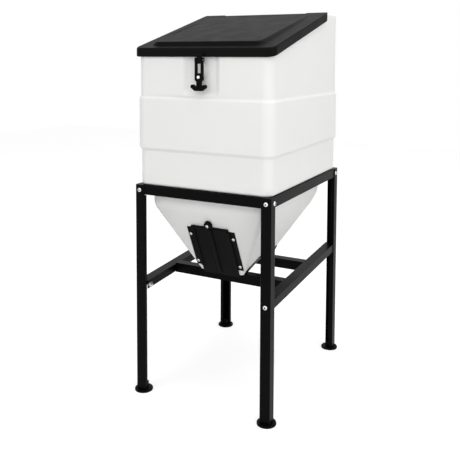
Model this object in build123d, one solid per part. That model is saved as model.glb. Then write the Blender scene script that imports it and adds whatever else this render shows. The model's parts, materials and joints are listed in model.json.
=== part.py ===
from build123d import *
import os
from math import atan, cos, radians, sqrt, tan

os.makedirs("parts", exist_ok=True)

# Millimetres. The origin is on the floor at the middle of the stand's footprint.
# +Z is up, +X is the right-hand side and the front, with the gate and the latch, faces -Y.

# Stand
STAND_WIDTH = 470.0
STAND_DEPTH = 608.0
STAND_HEIGHT = 677.0
STEEL = 2.5
LEG_FLANGE = 33.0
LEG_LIP = 13.0
BEND_RADIUS = 3.0
FOOT_DIAMETER = 58.5
FOOT_THICKNESS = 6.0
FOOT_EDGE = 2.0
PLUG_SIZE = 25.0
PLUG_HEIGHT = 20.0
PLUG_CLEARANCE = 0.3
RAIL_FLANGE = 31.0
LIP_CUT_BELOW_RAIL = 3.0

# Lower side rails and cross rails
LOWER_RAIL_WIDTH = 34.0
LOWER_RAIL_HEIGHT = 26.0
LOWER_RAIL_TOP_FRONT = 370.4
LOWER_RAIL_TOP_REAR = 396.8
LOWER_RAIL_END_GAP = 14.0
LEFT_RAIL_DROP = 6.0
NOTCH_CLEARANCE = 1.5
TAB_FROM_LIP = 1.5
CROSS_RAIL_FLANGE = 32.0
CROSS_RAIL_DROP = 2.5
CROSS_RAIL_FRONT_Y = -123.0
CROSS_RAIL_REAR_Y = 61.0
CROSS_TAB_HEIGHT = 24.0

# Fasteners
FRAME_BOLT_RADIUS = 4.0
FRAME_HEAD_RADIUS = 7.0
FRAME_HEAD_HEIGHT = 4.4
FRAME_SOCKET_FLATS = 5.0
FRAME_NUT_FLATS = 13.0
FRAME_NUT_HEIGHT = 6.5
SMALL_BOLT_RADIUS = 3.0
SMALL_HEAD_RADIUS = 5.25
SMALL_HEAD_HEIGHT = 3.3
SMALL_SOCKET_FLATS = 4.0
SMALL_NUT_FLATS = 10.0
SMALL_NUT_HEIGHT = 5.0
THREAD_TIP = 1.0
HEAD_ROUND_SHARE = 0.7
SOCKET_FLOOR_SHARE = 0.4
HOLE_CLEARANCE = 0.25
BOLT_FROM_SIDE = 16.0
BOLT_FROM_FRONT = 22.0
BOLT_BELOW_TOP = 17.0

# Bin
WALL = 5.0
BIN_INSET_X = 6.0
BIN_INSET_Y = 8.0
BIN_CORNER = 30.0
BIN_FOOT_ROUND = 8.0
BAND_BOTTOM = 789.0
BAND_BELOW_LID = 150.1
BAND_PROUD = 7.0
UPPER_PROUD = 2.0
LID_FRONT_HEIGHT = 1108.1
LID_SLOPE = 0.2735
SHELF_FRONT_Y = 150.0
MOUTH_LIP = 12.0

# Hopper
COLLAR_SIDE_GAP = 6.5
COLLAR_FRONT_GAP = 2.5
COLLAR_REAR_GAP = 53.5
COLLAR_CORNER = 17.0
COLLAR_BREAK_Z = 609.0
REAR_BREAK_Z = 566.0
TOE_Y = -160.0
TOE_Z = 386.0
TOE_WIDTH = 156.0
TOE_CORNER = 8.0
KNEE_Y = -86.0
HEEL_Y = 50.0
HEEL_Z = 421.0

# Hopper saddle
SADDLE_PLATE = 3.0
SADDLE_LIP = 12.0
SADDLE_FRONT_SETBACK = 4.0
SADDLE_FOOT_INNER_X = 30.0
SADDLE_FOOT_WIDTH = 32.0
SADDLE_PAD_DEPTH = 24.0

# Outlet and gate, measured up the hopper's sloped front from its toe
OUTLET_WIDTH = 100.0
OUTLET_BOTTOM = 8.0
OUTLET_HEIGHT = 67.0
GATE_PLATE = 2.5
GATE_WIDTH = 130.0
GATE_BOTTOM = -9.0
GATE_LENGTH = 195.0
GATE_BACK_GAP = 0.4
GATE_EDGE_GAP = 0.4
GATE_LIP = 9.0
BEAD_WIDTH = 12.0
BEAD_HEIGHT = 4.0
BEAD_END_MARGIN = 14.0
BEAD_ROUND = 3.2
GUIDE_SHEET = 2.0
GUIDE_FLANGE = 17.0
GUIDE_OVERLAP = 8.0
GUIDE_BOTTOM = 22.0
GUIDE_LENGTH = 154.0
GUIDE_SCREW_INSET = 16.0
GUIDE_SCREW_SPREAD = 111.0
KNOB_RADIUS = 13.0
KNOB_THICKNESS = 10.0
KNOB_RISE = 12.0
KNOB_ROUND = 2.5

# Lid
LID_WALL = 4.0
LID_SEAT_GAP = 0.3
LID_SIDE_GAP = 5.0
LID_FRONT_GAP = 1.0
LID_CORNER = 25.0
LID_SKIRT = 27.0
LID_REAR_OVERHANG = 2.0
PLATEAU_FRONT_RISE = 12.0
PLATEAU_REAR_RISE = 1.5
PLATEAU_SIDE_DRAFT = 12.0
PLATEAU_END_DRAFT = 2.0
PLATEAU_SIDE_BORDER = 43.0
PLATEAU_FRONT_BORDER = 26.0
PLATEAU_REAR_BORDER = 27.0
PLATEAU_CORNER = 24.0

# Hinge
HINGE_BACK = 12.0
HINGE_DROP = 2.8
PIN_RADIUS = 3.0
PIN_END_GAP = 11.0
RUNNING_CLEARANCE = 0.05
EAR_INNER_X = 160.0
EAR_RADIUS = 10.0
EAR_ROOM = 2.0
LUG_WIDTH = 28.0
LUG_RADIUS = 7.5
LUG_BLIND = 2.0

# Latch
LATCH_WIDTH = 26.0
LATCH_LOOP_WIDTH = 14.4
LATCH_THICKNESS = 10.0
LATCH_FRONT_SET = 1.0
LATCH_KNUCKLE = 7.5
LATCH_PIVOT_FORWARD = 3.0
LATCH_PIVOT_DROP = 9.2
LATCH_PIN_RADIUS = 2.0
LATCH_CHEEK_GAP = 0.4
TONGUE_END = 11.0
TONGUE_DEPTH = 10.0
TONGUE_ROUND = 4.5
LOOP_BOTTOM = 39.0
PAD_BOTTOM = 66.0
PAD_CORNER = 7.0
NECK_WIDTH = 15.0
HANDLE_WIDTH = 52.0
HANDLE_FLAT = 20.0
HANDLE_BOTTOM = 92.0
HANDLE_ARM = 12.0
HANDLE_SWEEP = 7.0
HANDLE_DEPTH = 11.0
HANDLE_BACK_SET = 2.0
BOSS_WIDTH = 27.0
BOSS_HEIGHT = 10.0
BOSS_DEPTH = 9.0
BOSS_ROUND = 3.6
STUD_DROP = 51.0
STUD_RADIUS = 5.0
STUD_GRIP = 1.5
SOCKET_CLEARANCE = 0.4
SOCKET_DEPTH = 2.2
STUD_POST_RADIUS = 3.5
STUD_THREAD_RADIUS = 2.5
STUD_FLANGE_RADIUS = 8.0
STUD_FLANGE = 2.0
CAP_RADIUS = 5.0
CAP_HEIGHT = 2.5
CAP_ROUND = 2.0
CAP_SHANK_RADIUS = 1.8
CAP_SHANK_LENGTH = 3.0
RECESS_WIDTH = 126.0
RECESS_ABOVE_BAND = 4.0
RECESS_DEPTH = 9.0
RECESS_DRAFT = 14.0
RECESS_CORNER = 18.0

# How far a cutting block runs past the face that it cuts
CUT_PAST = 1.0

# Places worked out from the sizes above
STAND_X = STAND_WIDTH / 2
STAND_Y = STAND_DEPTH / 2
INNER_X = STAND_X - STEEL
INNER_Y = STAND_Y - STEEL
RAIL_EDGE_X = INNER_X - RAIL_FLANGE
RAIL_EDGE_Y = INNER_Y - RAIL_FLANGE
RAIL_BOTTOM = STAND_HEIGHT - RAIL_FLANGE
BOLT_X = STAND_X - BOLT_FROM_SIDE
BOLT_Y = STAND_Y - BOLT_FROM_FRONT
BOLT_Z = STAND_HEIGHT - BOLT_BELOW_TOP
LOWER_RAIL_IN_X = INNER_X - LOWER_RAIL_WIDTH
LOWER_RAIL_END_Y = STAND_Y - LOWER_RAIL_END_GAP
LOWER_X = STAND_X - BIN_INSET_X
LOWER_Y = STAND_Y - BIN_INSET_Y
UPPER_X = LOWER_X + UPPER_PROUD
UPPER_Y = LOWER_Y + UPPER_PROUD
COLLAR_X = RAIL_EDGE_X - COLLAR_SIDE_GAP
COLLAR_FRONT_Y = COLLAR_FRONT_GAP - RAIL_EDGE_Y
COLLAR_REAR_Y = RAIL_EDGE_Y - COLLAR_REAR_GAP
BAND_TOP = LID_FRONT_HEIGHT - BAND_BELOW_LID
RECESS_BOTTOM = BAND_TOP + RECESS_ABOVE_BAND
LID_X = UPPER_X + LID_SIDE_GAP + LID_WALL
LID_FRONT_Y = -UPPER_Y - LID_FRONT_GAP - LID_WALL
LID_REAR_Y = SHELF_FRONT_Y + LID_REAR_OVERHANG
RIM_DROP = LID_WALL + LID_SEAT_GAP
TOP = 2 * LID_FRONT_HEIGHT


def lid_top(y):
    """Height of the lid's border at y."""
    return LID_FRONT_HEIGHT + LID_SLOPE * (y - LID_FRONT_Y)


def rim_height(y):
    """Height of the bin's sloped rim at y."""
    return lid_top(y) - RIM_DROP


SHELF_Z = rim_height(SHELF_FRONT_Y)
HINGE_Y = SHELF_FRONT_Y + HINGE_BACK
HINGE_Z = SHELF_Z - HINGE_DROP
LID_BACK_Y = HINGE_Y + EAR_RADIUS
PIN_END_X = LID_X - PIN_END_GAP
LUG_OUTER_X = EAR_INNER_X - EAR_ROOM
LUG_INNER_X = LUG_OUTER_X - LUG_WIDTH
RECESS_Y = RECESS_DEPTH - UPPER_Y
PIVOT_Y = LID_FRONT_Y - LATCH_PIVOT_FORWARD
PIVOT_Z = LID_FRONT_HEIGHT - LID_SKIRT - LATCH_PIVOT_DROP
STUD_Z = PIVOT_Z - STUD_DROP
STRAP_FRONT_Y = PIVOT_Y - LATCH_THICKNESS / 2 - LATCH_FRONT_SET
STRAP_BACK_Y = STRAP_FRONT_Y + LATCH_THICKNESS

# Unit directions of the gate: along the hopper's sloped front, and out of it
FRONT_RUN = COLLAR_FRONT_Y - TOE_Y
FRONT_RISE = COLLAR_BREAK_Z - TOE_Z
FRONT_LENGTH = sqrt(FRONT_RUN ** 2 + FRONT_RISE ** 2)
GATE_PLANE = Plane(
    origin=(0, TOE_Y, TOE_Z),
    x_dir=(1, 0, 0),
    z_dir=(0, -FRONT_RISE / FRONT_LENGTH, FRONT_RUN / FRONT_LENGTH),
)


def block(x0, x1, y0, y1, z0, z1):
    """A box between two corners."""
    centre = Pos((x0 + x1) / 2, (y0 + y1) / 2, (z0 + z1) / 2)
    return centre * Box(abs(x1 - x0), abs(y1 - y0), abs(z1 - z0))


def along_x(points, x0, x1):
    """A (y, z) outline carried from x0 to x1."""
    face = Plane.YZ.offset(x0) * make_face(Polyline(*points, close=True))
    return extrude(face, amount=x1 - x0)


def along_y(points, y0, y1):
    """An (x, z) outline carried from y0 to y1."""
    face = Plane.XZ.offset(-y1) * make_face(Polyline(*points, close=True))
    return extrude(face, amount=y1 - y0)


def column(half_x, y0, y1, corner, z0, z1):
    """A rounded rectangle in plan, standing from z0 to z1."""
    plan = RectangleRounded(2 * half_x, y1 - y0, corner)
    return Pos(0, (y0 + y1) / 2, z0) * extrude(plan, amount=z1 - z0)


def rod_x(radius, x0, x1, y, z):
    """A round bar along X."""
    bar = Cylinder(radius, abs(x1 - x0), rotation=(0, 90, 0))
    return Pos((x0 + x1) / 2, y, z) * bar


def rod_y(radius, y0, y1, x, z):
    """A round bar along Y."""
    bar = Cylinder(radius, abs(y1 - y0), rotation=(90, 0, 0))
    return Pos(x, (y0 + y1) / 2, z) * bar


def to_corner(shape, side, end):
    """Mirrors what is drawn at the right rear corner to another corner."""
    if side < 0:
        shape = mirror(shape, about=Plane.YZ)
    if end < 0:
        shape = mirror(shape, about=Plane.XZ)
    return shape


def lower_rail_top(y):
    """Height of the lower side rails at y: they climb towards the rear."""
    rise = (LOWER_RAIL_TOP_REAR - LOWER_RAIL_TOP_FRONT) / (2 * LOWER_RAIL_END_Y)
    return LOWER_RAIL_TOP_FRONT + rise * (y + LOWER_RAIL_END_Y)


def lower_bolt_height(y):
    """Height of a bolt at mid height of the lower side rails."""
    return lower_rail_top(y) - LOWER_RAIL_HEIGHT / 2


def button_bolt(radius, head_radius, head_height, socket_flats, length):
    """A button-head bolt: the head sits above z = 0 and the shank hangs below."""
    head = Cylinder(head_radius, head_height, align=(Align.CENTER, Align.CENTER, Align.MIN))
    head = fillet(head.edges().group_by(Axis.Z)[-1], head_height * HEAD_ROUND_SHARE)
    socket = extrude(RegularPolygon(socket_flats / 2, 6, major_radius=False), amount=head_height)
    head -= Pos(0, 0, head_height * SOCKET_FLOOR_SHARE) * socket
    shank = Cylinder(radius, length, align=(Align.CENTER, Align.CENTER, Align.MAX))
    return head + shank


def hex_nut(radius, flats, height, grip):
    """A nut under the grip of a bolt made by button_bolt."""
    body = extrude(RegularPolygon(flats / 2, 6, major_radius=False), amount=height)
    hole = Cylinder(radius + RUNNING_CLEARANCE, 3 * height)
    return Pos(0, 0, -grip - height) * (body - hole)


def frame_bolt(grip):
    length = grip + FRAME_NUT_HEIGHT + THREAD_TIP
    return button_bolt(FRAME_BOLT_RADIUS, FRAME_HEAD_RADIUS, FRAME_HEAD_HEIGHT, FRAME_SOCKET_FLATS, length)


def frame_nut(grip):
    return hex_nut(FRAME_BOLT_RADIUS, FRAME_NUT_FLATS, FRAME_NUT_HEIGHT, grip)


def small_screw(length):
    return button_bolt(SMALL_BOLT_RADIUS, SMALL_HEAD_RADIUS, SMALL_HEAD_HEIGHT, SMALL_SOCKET_FLATS, length)


def small_bolt(grip):
    return small_screw(grip + SMALL_NUT_HEIGHT + THREAD_TIP)


def small_nut(grip):
    return hex_nut(SMALL_BOLT_RADIUS, SMALL_NUT_FLATS, SMALL_NUT_HEIGHT, grip)


# Where each fastener sits: its local +Z points out of the head
def facing_x(side, x, y, z):
    """A place whose local +Z points along X, to the given side."""
    return Location(Plane(origin=(x, y, z), x_dir=(0, 1, 0), z_dir=(side, 0, 0)))


def facing_y(end, x, y, z):
    """A place whose local +Z points along Y, to the given end."""
    return Location(Plane(origin=(x, y, z), x_dir=(1, 0, 0), z_dir=(0, end, 0)))


CORNERS = [(side, end) for side in (-1, 1) for end in (-1, 1)]
RAIL_BOLTS = [facing_y(end, side * BOLT_X, end * STAND_Y, BOLT_Z) for side, end in CORNERS]
RAIL_BOLTS += [facing_x(side, side * STAND_X, end * BOLT_Y, BOLT_Z) for side, end in CORNERS]
LEFT_RAIL_BOLTS = [
    facing_x(-1, -STAND_X, end * BOLT_Y, lower_bolt_height(end * BOLT_Y) - LEFT_RAIL_DROP) for end in (-1, 1)
]
RIGHT_RAIL_BOLTS = [facing_y(end, BOLT_X, end * STAND_Y, lower_bolt_height(end * STAND_Y)) for end in (-1, 1)]
LEFT_RAIL_GRIP = STEEL + LOWER_RAIL_WIDTH
FRAME_GRIP = 2 * STEEL


def drill(shape, places, radius, depth):
    """Cuts a clearance hole at each place, half its depth to each side of the face."""
    for place in places:
        shape -= place * Cylinder(radius + HOLE_CLEARANCE, 2 * depth)
    return shape


# Legs and feet
def leg(side, end):
    """One leg: an angle with its corner outwards and a return lip on each flange."""
    low = STAND_X - LEG_FLANGE
    back = STAND_Y - LEG_FLANGE
    z0 = FOOT_THICKNESS
    solid = block(low, STAND_X, back, STAND_Y, z0, STAND_HEIGHT)
    corners = solid.edges().filter_by(Axis.Z)
    outside = corners.filter_by(lambda e: e.center().X > low + STEEL or e.center().Y > back + STEEL)
    solid = fillet(outside, BEND_RADIUS)
    solid -= block(low + STEEL, INNER_X, back + STEEL, INNER_Y, 0, TOP)
    near = low - CUT_PAST
    behind = back - CUT_PAST
    solid -= block(near, STAND_X - LEG_LIP, behind, STAND_Y - LEG_LIP, 0, TOP)
    lip_top = RAIL_BOTTOM - LIP_CUT_BELOW_RAIL
    solid -= block(near, INNER_X, behind, INNER_Y, lip_top, TOP)
    rail_y = end * (back + STEEL / 2)
    drop = LEFT_RAIL_DROP if side < 0 else 0
    notch_top = lower_rail_top(rail_y) + NOTCH_CLEARANCE - drop
    notch_bottom = notch_top - LOWER_RAIL_HEIGHT - 2 * NOTCH_CLEARANCE
    solid -= block(near, INNER_X, behind, INNER_Y - LEG_LIP, notch_bottom, notch_top)
    solid = to_corner(solid, side, end)
    lower = LEFT_RAIL_BOLTS if side < 0 else RIGHT_RAIL_BOLTS
    return drill(solid, RAIL_BOLTS + lower, FRAME_BOLT_RADIUS, 2 * STEEL)


def foot(side, end):
    """A round pad under a leg, with a square plug that locates it inside the angle."""
    middle = LEG_FLANGE / 2
    pad = Pos(STAND_X - middle, STAND_Y - middle, FOOT_THICKNESS / 2) * Cylinder(FOOT_DIAMETER / 2, FOOT_THICKNESS)
    pad = fillet(pad.edges().filter_by(GeomType.CIRCLE).group_by(Axis.Z)[-1], FOOT_EDGE)
    plug_x = INNER_X - PLUG_CLEARANCE
    plug_y = INNER_Y - PLUG_CLEARANCE
    plug = block(plug_x - PLUG_SIZE, plug_x, plug_y - PLUG_SIZE, plug_y, 0, FOOT_THICKNESS + PLUG_HEIGHT)
    return to_corner(pad + plug, side, end)


# Top rails
def end_rail(end):
    """The front or rear top rail, an angle that runs the full width inside the legs."""
    solid = block(-INNER_X, INNER_X, RAIL_EDGE_Y, INNER_Y, RAIL_BOTTOM, STAND_HEIGHT)
    solid -= block(-STAND_X, STAND_X, 0, INNER_Y - STEEL, 0, STAND_HEIGHT - STEEL)
    return drill(to_corner(solid, 1, end), RAIL_BOLTS[:4], FRAME_BOLT_RADIUS, 3 * STEEL)


def side_rail(side):
    """A side top rail: its top flange butts between the end rails, its web runs on to them."""
    reach = INNER_Y - STEEL
    solid = block(RAIL_EDGE_X, INNER_X, -RAIL_EDGE_Y, RAIL_EDGE_Y, RAIL_BOTTOM, STAND_HEIGHT)
    solid += block(INNER_X - STEEL, INNER_X, -reach, reach, RAIL_BOTTOM, STAND_HEIGHT - STEEL)
    solid -= block(0, INNER_X - STEEL, -STAND_Y, STAND_Y, 0, STAND_HEIGHT - STEEL)
    return drill(to_corner(solid, side, 1), RAIL_BOLTS[4:], FRAME_BOLT_RADIUS, 3 * STEEL)


# Lower rails
def rail_strip(y0, y1, upper, lower):
    """A (y, z) outline that follows the slope of the lower side rails."""
    return [
        (y0, lower_rail_top(y0) - lower),
        (y1, lower_rail_top(y1) - lower),
        (y1, lower_rail_top(y1) - upper),
        (y0, lower_rail_top(y0) - upper),
    ]


CROSS_RAILS = (CROSS_RAIL_FRONT_Y, CROSS_RAIL_REAR_Y)


def cross_rail_top(y0):
    return lower_rail_top(y0 + CROSS_RAIL_FLANGE / 2) - CROSS_RAIL_DROP


def cross_bolt_places(y0):
    """Bolts that hold the two ends of a cross rail, with their heads inboard."""
    y = y0 + CROSS_RAIL_FLANGE / 2 + STEEL / 2
    z = cross_rail_top(y0) - STEEL - CROSS_TAB_HEIGHT / 2
    return [facing_x(-side, side * (LOWER_RAIL_IN_X - STEEL), y, z) for side in (-1, 1)]


CROSS_BOLTS = cross_bolt_places(CROSS_RAIL_FRONT_Y) + cross_bolt_places(CROSS_RAIL_REAR_Y)


def lower_rail(side):
    """A channel, open below, that climbs to the rear between the legs."""
    end_y = LOWER_RAIL_END_Y
    solid = along_x(rail_strip(-end_y, end_y, 0, LOWER_RAIL_HEIGHT), LOWER_RAIL_IN_X, INNER_X)
    hollow = along_x(
        rail_strip(-STAND_Y, STAND_Y, STEEL, 2 * LOWER_RAIL_HEIGHT), LOWER_RAIL_IN_X + STEEL, INNER_X - STEEL
    )
    solid -= hollow
    if side > 0:
        for end in (-1, 1):
            solid += rail_tab(end)
    solid = to_corner(solid, side, 1)
    if side > 0:
        places = RIGHT_RAIL_BOLTS
        depth = 2 * FRAME_GRIP
    else:
        solid = Pos(0, 0, -LEFT_RAIL_DROP) * solid
        places = LEFT_RAIL_BOLTS
        depth = LEFT_RAIL_GRIP + STEEL
    solid = drill(solid, places, FRAME_BOLT_RADIUS, depth)
    return drill(solid, CROSS_BOLTS, FRAME_BOLT_RADIUS, FRAME_GRIP + STEEL)


def rail_tab(end):
    """The bent end of the right lower rail, bolted to the face of a leg."""
    x0 = STAND_X - LEG_FLANGE + STEEL + TAB_FROM_LIP
    x1 = INNER_X - TAB_FROM_LIP
    near, far = sorted((end * (LOWER_RAIL_END_Y - STEEL), end * INNER_Y))
    strip = along_x(rail_strip(near, far, 0, STEEL), x0, x1)
    near, far = sorted((end * (INNER_Y - STEEL), end * INNER_Y))
    return strip + along_x(rail_strip(near, far, 0, LOWER_RAIL_HEIGHT), x0, x1)


def cross_rail(y0):
    """An angle across the stand that carries the hopper saddle, with a bolted tab at each end."""
    top = cross_rail_top(y0)
    y1 = y0 + CROSS_RAIL_FLANGE
    tab_bottom = top - STEEL - CROSS_TAB_HEIGHT
    x = LOWER_RAIL_IN_X
    solid = block(-x, x, y0, y1, top - CROSS_RAIL_FLANGE, top)
    past = y1 + CUT_PAST
    solid -= block(-x + STEEL, x - STEEL, y0 + STEEL, past, 0, top - STEEL)
    solid -= block(-STAND_X, STAND_X, y0 + STEEL, past, 0, tab_bottom)
    solid = drill(solid, CROSS_BOLTS, FRAME_BOLT_RADIUS, 2 * STEEL)
    return drill(solid, SADDLE_BOLTS, SMALL_BOLT_RADIUS, 4 * STEEL)


# Hopper
def between(z, z_low, z_high, low, high):
    """Straight-line value at z, carried on past both ends."""
    return low + (high - low) * (z - z_low) / (z_high - z_low)


def floor_height(y):
    """Height of the hopper's floor, outside, at y: it climbs from the toe to the knee, then runs level."""
    return between(min(y, KNEE_Y), TOE_Y, KNEE_Y, TOE_Z, HEEL_Z)


def hopper_half_width(z):
    return between(min(z, COLLAR_BREAK_Z), TOE_Z, COLLAR_BREAK_Z, TOE_WIDTH / 2, COLLAR_X)


def hopper_form(wall, top):
    """The hopper's outer form, or its hollow where wall is the wall's thickness."""
    side_angle = atan((COLLAR_X - TOE_WIDTH / 2) / (COLLAR_BREAK_Z - TOE_Z))
    rear_angle = atan((COLLAR_REAR_Y - HEEL_Y) / (REAR_BREAK_Z - HEEL_Z))
    side_inset = wall / cos(side_angle)
    front_inset = wall * FRONT_LENGTH / FRONT_RISE
    rear_inset = wall / cos(rear_angle)
    sections = []
    for z in (top, COLLAR_BREAK_Z, REAR_BREAK_Z, TOE_Z - 2 * WALL):
        half_x = hopper_half_width(z) - side_inset
        front = between(min(z, COLLAR_BREAK_Z), TOE_Z, COLLAR_BREAK_Z, TOE_Y, COLLAR_FRONT_Y) + front_inset
        rear = between(min(z, REAR_BREAK_Z), HEEL_Z, REAR_BREAK_Z, HEEL_Y, COLLAR_REAR_Y) - rear_inset
        corner = between(min(z, COLLAR_BREAK_Z), TOE_Z, COLLAR_BREAK_Z, TOE_CORNER, COLLAR_CORNER) - wall
        plan = RectangleRounded(2 * half_x, rear - front, corner)
        sections.append(Pos(0, (front + rear) / 2, z) * plan)
    form = loft(sections, ruled=True)
    climb = (HEEL_Z - TOE_Z) / (KNEE_Y - TOE_Y)
    lift = wall / cos(atan(climb))
    level = HEEL_Z + wall
    knee = KNEE_Y + (wall - lift) / climb
    y0 = -STAND_Y
    y1 = STAND_Y
    under = [(y0, 0), (y1, 0), (y1, level), (knee, level), (y0, floor_height(y0) + lift)]
    return form - along_x(under, -STAND_X, STAND_X)


# Bin
def bin_form(wall):
    """The bin above the hopper, or its hollow where wall is the wall's thickness."""
    ledge = wall * tan(radians(22.5))
    lower = column(
        LOWER_X - wall, wall - LOWER_Y, LOWER_Y - wall, BIN_CORNER - wall, STAND_HEIGHT + wall, BAND_BOTTOM + wall
    )
    lower = fillet(lower.edges().group_by(Axis.Z)[0], BIN_FOOT_ROUND - wall)
    band_x = LOWER_X + BAND_PROUD - wall
    band_y = LOWER_Y + BAND_PROUD - wall
    band = column(band_x, -band_y, band_y, BIN_CORNER + BAND_PROUD - wall, BAND_BOTTOM + ledge, BAND_TOP - ledge)
    band = chamfer(band.edges().group_by(Axis.Z)[0], BAND_PROUD)
    band = chamfer(band.edges().group_by(Axis.Z)[-1], BAND_PROUD - UPPER_PROUD)
    upper_x = UPPER_X - wall
    upper_y = UPPER_Y - wall
    upper = column(upper_x, -upper_y, upper_y, BIN_CORNER + UPPER_PROUD - wall, BAND_TOP - 2 * WALL, TOP)
    return lower + band + upper


def bin_top(wall):
    """What lies above the bin: the slope of the mouth, then the closed rear shelf."""
    mouth = SHELF_FRONT_Y - MOUTH_LIP
    if wall:
        line = [(mouth, TOP), (mouth, rim_height(mouth) - wall), (SHELF_FRONT_Y, SHELF_Z - wall)]
    else:
        line = [(-STAND_Y, TOP), (-STAND_Y, rim_height(-STAND_Y)), (SHELF_FRONT_Y, SHELF_Z)]
    return along_x(line + [(STAND_Y, SHELF_Z - wall), (STAND_Y, TOP)], -STAND_X, STAND_X)


def latch_recess(wall):
    """The shallow recess for the latch in the front wall, with soft sloping sides and bottom."""
    sections = []
    for y, draft in ((-STAND_Y, 0), (-UPPER_Y, 0), (RECESS_Y, RECESS_DRAFT)):
        half = RECESS_WIDTH / 2 + wall - draft
        bottom = RECESS_BOTTOM - wall + draft
        front = Plane.XZ.offset(-y - wall) * Pos(0, (bottom + TOP) / 2)
        sections.append(front * RectangleRounded(2 * half, TOP - bottom, RECESS_CORNER))
    return loft(sections, ruled=True)


def ear_pockets(wall):
    """Room behind the mouth for the lid's hinge ears, one on each side."""
    y0 = SHELF_FRONT_Y - wall
    y1 = HINGE_Y + EAR_RADIUS + EAR_ROOM + wall
    z0 = HINGE_Z - EAR_RADIUS - EAR_ROOM - wall
    right = block(LUG_OUTER_X - wall, STAND_X, y0, y1, z0, TOP)
    return right + to_corner(right, -1, 1)


def hinge_lug(side):
    """A solid lug on the rear shelf that holds one hinge pin."""
    solid = rod_x(LUG_RADIUS, side * LUG_INNER_X, side * LUG_OUTER_X, HINGE_Y, HINGE_Z)
    base = block(
        side * LUG_INNER_X, side * LUG_OUTER_X, HINGE_Y - LUG_RADIUS, HINGE_Y + LUG_RADIUS, SHELF_Z - WALL, HINGE_Z
    )
    return solid + base


def bin_and_hopper():
    """The bin and its hopper as one hollow form."""
    outer = bin_form(0) - bin_top(0) - latch_recess(0) - ear_pockets(0)
    outer += hopper_form(0, STAND_HEIGHT + WALL)
    inner = bin_form(WALL) - bin_top(WALL) - latch_recess(WALL) - ear_pockets(WALL)
    inner += hopper_form(WALL, STAND_HEIGHT + 2 * WALL)
    solid = outer - inner
    solid += hinge_lug(-1) + hinge_lug(1)
    bore = PIN_RADIUS + RUNNING_CLEARANCE
    for side in (-1, 1):
        solid -= rod_x(bore, side * (LUG_INNER_X + LUG_BLIND), side * STAND_X, HINGE_Y, HINGE_Z)
    outlet_middle = OUTLET_BOTTOM + OUTLET_HEIGHT / 2
    solid -= GATE_PLANE * Pos(0, outlet_middle, 0) * Box(OUTLET_WIDTH, OUTLET_HEIGHT, 4 * WALL)
    solid = drill(solid, GUIDE_SCREWS, SMALL_BOLT_RADIUS, 3 * WALL)
    return drill(solid, [KEEPER_PLACE], STUD_THREAD_RADIUS, 2 * WALL)


def bin_body(form):
    """The bin: what stands above the top rails."""
    return form & block(-STAND_WIDTH, STAND_WIDTH, -STAND_DEPTH, STAND_DEPTH, STAND_HEIGHT, TOP)


def hopper(form):
    """The hopper: what hangs inside the top rails, welded to the bin's floor."""
    return form & block(-STAND_WIDTH, STAND_WIDTH, -STAND_DEPTH, STAND_DEPTH, 0, STAND_HEIGHT)


# Hopper saddle
def saddle_bolt_places():
    """Bolts through the saddle's four pads into the cross rails."""
    places = []
    x = SADDLE_FOOT_INNER_X + SADDLE_FOOT_WIDTH / 2
    for y0 in CROSS_RAILS:
        z = cross_rail_top(y0) + SADDLE_PLATE
        y = y0 + CROSS_RAIL_FLANGE / 2
        places += [Location((side * x, y, z)) for side in (-1, 1)]
    return places


SADDLE_BOLTS = saddle_bolt_places()


def saddle_foot(side, y0, web_y):
    """A bent foot: a pad on a cross rail and a web up to the saddle's plate."""
    x0 = side * SADDLE_FOOT_INNER_X
    x1 = side * (SADDLE_FOOT_INNER_X + SADDLE_FOOT_WIDTH)
    z0 = cross_rail_top(y0)
    middle = y0 + CROSS_RAIL_FLANGE / 2
    reach = SADDLE_PAD_DEPTH / 2
    pad = block(x0, x1, min(middle - reach, web_y), max(middle + reach, web_y + SADDLE_PLATE), z0, z0 + SADDLE_PLATE)
    web_top = floor_height(web_y) - SADDLE_PLATE / 2
    return pad + block(x0, x1, web_y, web_y + SADDLE_PLATE, z0, web_top)


def hopper_saddle():
    """A bent sheet tray under the hopper's floor, lipped at the sides, on four feet."""
    y0 = TOE_Y + SADDLE_FRONT_SETBACK
    y1 = HEEL_Y
    bends = (y0, KNEE_Y, y1)
    band = [(y, floor_height(y) - SADDLE_PLATE) for y in bends]
    band += [(y, floor_height(y) + SADDLE_LIP) for y in reversed(bends)]
    low = TOE_Z - 2 * SADDLE_LIP
    high = HEEL_Z + 2 * SADDLE_LIP
    half_low = hopper_half_width(low) + SADDLE_PLATE
    half_high = hopper_half_width(high) + SADDLE_PLATE
    taper = [(-half_low, low), (half_low, low), (half_high, high), (-half_high, high)]
    tray = along_x(band, -STAND_X, STAND_X) & along_y(taper, y0, y1)
    tray -= hopper_form(0, STAND_HEIGHT)
    for side in (-1, 1):
        middle = CROSS_RAIL_FRONT_Y + CROSS_RAIL_FLANGE / 2
        tray += saddle_foot(side, CROSS_RAIL_FRONT_Y, middle + SADDLE_PAD_DEPTH / 2 - SADDLE_PLATE)
        tray += saddle_foot(side, CROSS_RAIL_REAR_Y, HEEL_Y - SADDLE_PLATE)
    return drill(tray, SADDLE_BOLTS, SMALL_BOLT_RADIUS, 2 * SADDLE_PLATE)


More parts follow.
